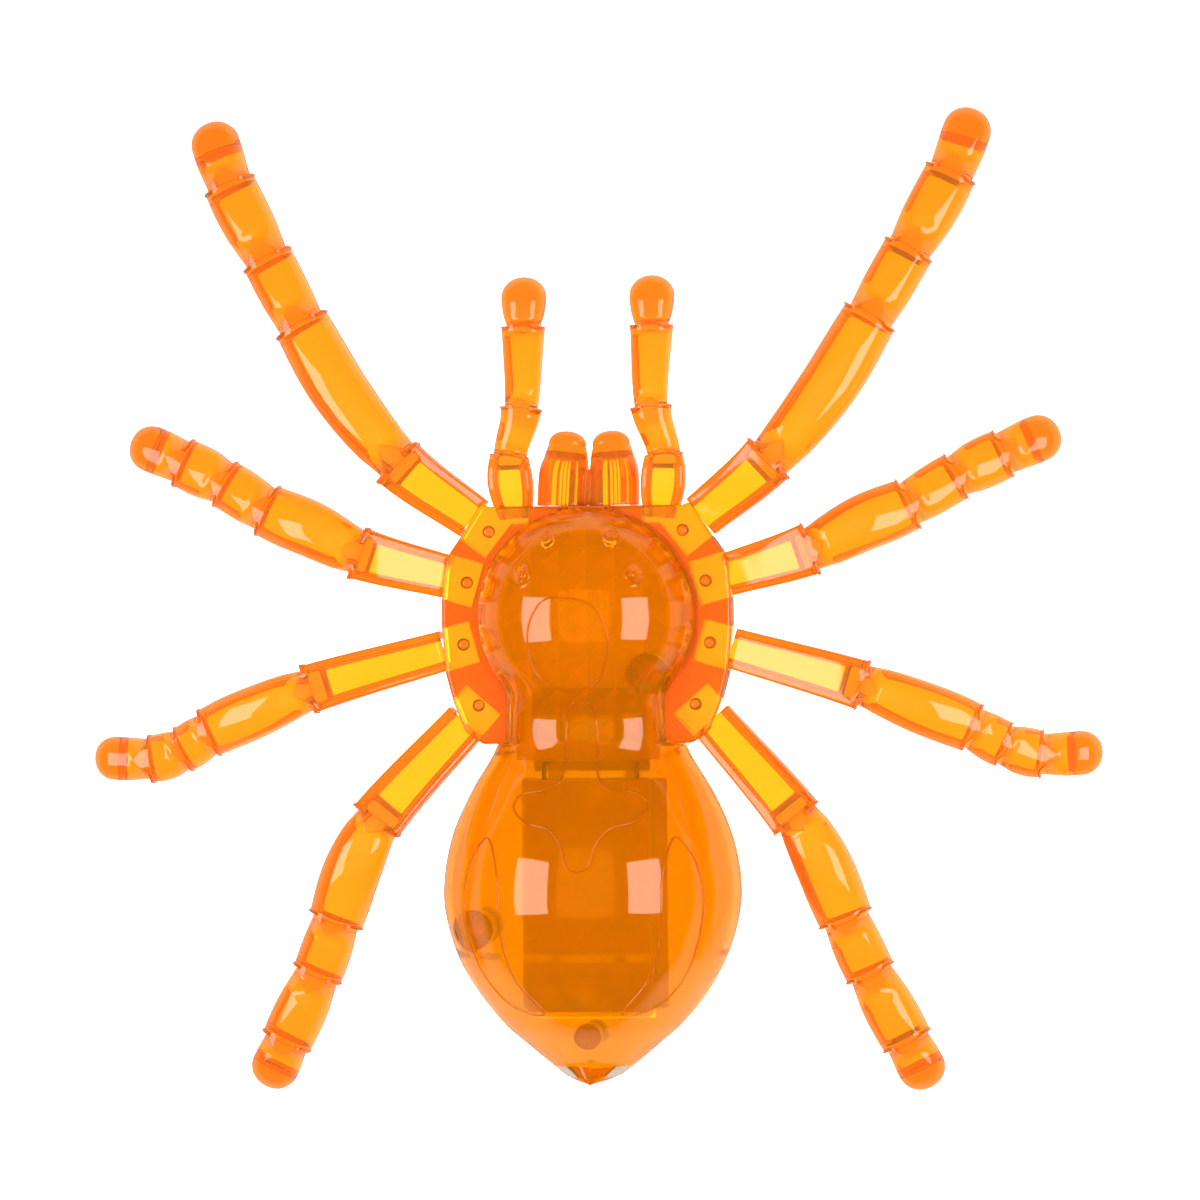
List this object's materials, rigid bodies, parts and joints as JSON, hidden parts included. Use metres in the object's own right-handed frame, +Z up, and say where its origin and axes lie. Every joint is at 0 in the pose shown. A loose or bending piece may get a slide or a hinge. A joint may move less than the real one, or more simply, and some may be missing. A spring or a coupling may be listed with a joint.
{
  "type": "light-up spider decoration",
  "caption": "Translucent orange plastic spider decoration with plugged-in legs, a lens deck, a battery bay with a hinged door and a slide switch.",
  "frame": {"origin": "under the middle of the leg span, on the plane that the feet and the belly stand on", "axes": "+X to the spider's right-hand side, the longest extent; +Y towards the head; +Z up, the shortest extent"},
  "size_m": [0.2638, 0.2542, 0.0467],
  "materials": {
    "shell": "gloss, translucent orange",
    "limb": "gloss, translucent orange",
    "cell_wrap": "plain printed film",
    "contact_metal": "nickel plated",
    "board": "bare laminate",
    "led_resin": "clear resin",
    "switch_plastic": "moulded black",
    "wire_black": "soft sleeve",
    "wire_red": "soft sleeve",
    "screw_steel": "zinc plated"
  },
  "bodies": {
    "spider": {"battery_tray": "shell", "belly_shell": "shell", "carapace_ring": "shell", "case_screws": "screw_steel", "cell_springs": "contact_metal", "chelicerae": "limb", "circuit_board": "board", "contact_plates": "contact_metal", "flasher_chip": "switch_plastic", "leds": "led_resin", "left_cell": "cell_wrap", "left_leg_1": "limb", "left_leg_2": "limb", "left_leg_3": "limb", "left_leg_4": "limb", "left_palp": "limb", "left_wire": "wire_black", "lens_plate": "shell", "right_cell": "cell_wrap", "right_leg_1": "limb", "right_leg_2": "limb", "right_leg_3": "limb", "right_leg_4": "limb", "right_palp": "limb", "right_wire": "wire_red", "switch_body": "switch_plastic", "top_shell": "shell"},
    "door": {"battery_door": "shell"},
    "switch": {"switch_knob": "switch_plastic"}
  },
  "joints": [
    {"name": "door_hinge", "type": "hinge", "parent": "spider", "child": "door", "pos_m": [0, -0.0478, 0.0014], "axis": [1, 0, 0], "range_deg": [0, 70]},
    {"name": "switch_slide", "type": "slide", "parent": "spider", "child": "switch", "axis": [1, 0, 0], "range_m": [0, 0.003]}
  ]
}
